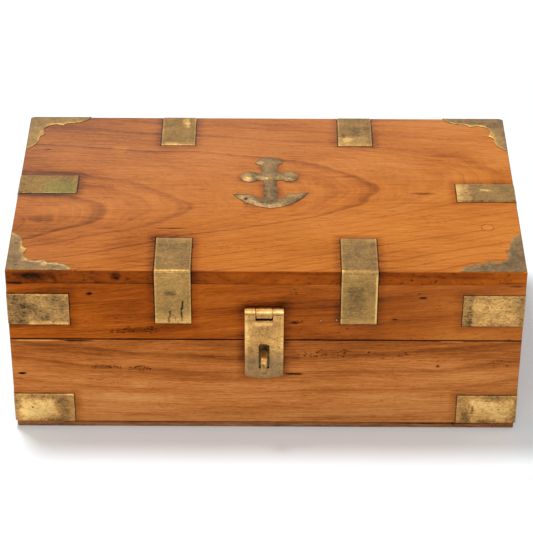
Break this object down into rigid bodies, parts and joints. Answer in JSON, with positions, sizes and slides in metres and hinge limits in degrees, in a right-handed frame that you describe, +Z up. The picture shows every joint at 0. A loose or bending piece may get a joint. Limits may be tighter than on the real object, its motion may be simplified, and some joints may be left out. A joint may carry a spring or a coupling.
{
  "type": "brass-bound wooden chest",
  "caption": "Small rectangular teak chest with a deep hinged lid, let-in brass straps, scalloped corner plates, a brass anchor on top, and a hasp over a staple for a padlock.",
  "frame": {"origin": "middle of the underside of the floor board, on the surface that the chest stands on", "axes": "+X to the right along the width, +Y from the front to the back, +Z up"},
  "size_m": [0.357, 0.218, 0.1388],
  "materials": {
    "carcass_wood": "waxed, worn",
    "lid_top_wood": "waxed, worn",
    "strap_brass": "aged, scratched",
    "dull_brass": "dull patina",
    "bright_brass": "rubbed bright",
    "iron_nails": "dark"
  },
  "bodies": {
    "base": {"base_back_board": "carcass_wood", "base_corner_nails": "iron_nails", "base_corner_strap_back_left": "strap_brass", "base_corner_strap_back_right": "strap_brass", "base_corner_strap_front_left": "strap_brass", "base_corner_strap_front_right": "strap_brass", "base_front_board": "carcass_wood", "base_left_board": "carcass_wood", "base_right_board": "carcass_wood", "base_strap_pins": "strap_brass", "floor_board": "carcass_wood", "floor_nails": "iron_nails", "hinge_base_screws": "strap_brass", "hinge_left_base_leaf": "strap_brass", "hinge_left_pin": "strap_brass", "hinge_right_base_leaf": "strap_brass", "hinge_right_pin": "strap_brass", "staple_loop": "bright_brass", "staple_plate": "bright_brass", "staple_screws": "bright_brass"},
    "lid": {"anchor_emblem": "dull_brass", "anchor_pin": "dull_brass", "back_strap_left": "strap_brass", "back_strap_right": "strap_brass", "corner_plate_back_left": "dull_brass", "corner_plate_back_right": "dull_brass", "corner_plate_front_left": "dull_brass", "corner_plate_front_right": "dull_brass", "corner_plate_pins": "dull_brass", "front_strap_left": "strap_brass", "front_strap_right": "strap_brass", "hasp_leaf": "bright_brass", "hasp_leaf_screws": "bright_brass", "hasp_pin": "bright_brass", "hinge_left_lid_leaf": "strap_brass", "hinge_lid_screws": "strap_brass", "hinge_right_lid_leaf": "strap_brass", "lid_back_board": "carcass_wood", "lid_corner_nails": "iron_nails", "lid_corner_strap_back_left": "strap_brass", "lid_corner_strap_back_right": "strap_brass", "lid_corner_strap_front_left": "strap_brass", "lid_corner_strap_front_right": "strap_brass", "lid_front_board": "carcass_wood", "lid_left_board": "carcass_wood", "lid_right_board": "carcass_wood", "lid_strap_pins": "strap_brass", "lid_top_board": "lid_top_wood", "side_strap_left": "strap_brass", "side_strap_right": "strap_brass", "top_nails": "iron_nails"},
    "hasp": {"hasp_plate": "bright_brass"}
  },
  "joints": [
    {"name": "lid_hinge", "type": "hinge", "parent": "base", "child": "lid", "pos_m": [0, 0.0985, 0.0792], "axis": [-1, 0, 0], "range_deg": [0, 98]},
    {"name": "hasp_swing", "type": "hinge", "parent": "lid", "child": "hasp", "pos_m": [-0.0012, -0.1039, 0.1057], "axis": [-1, 0, 0], "range_deg": [0, 175]}
  ]
}
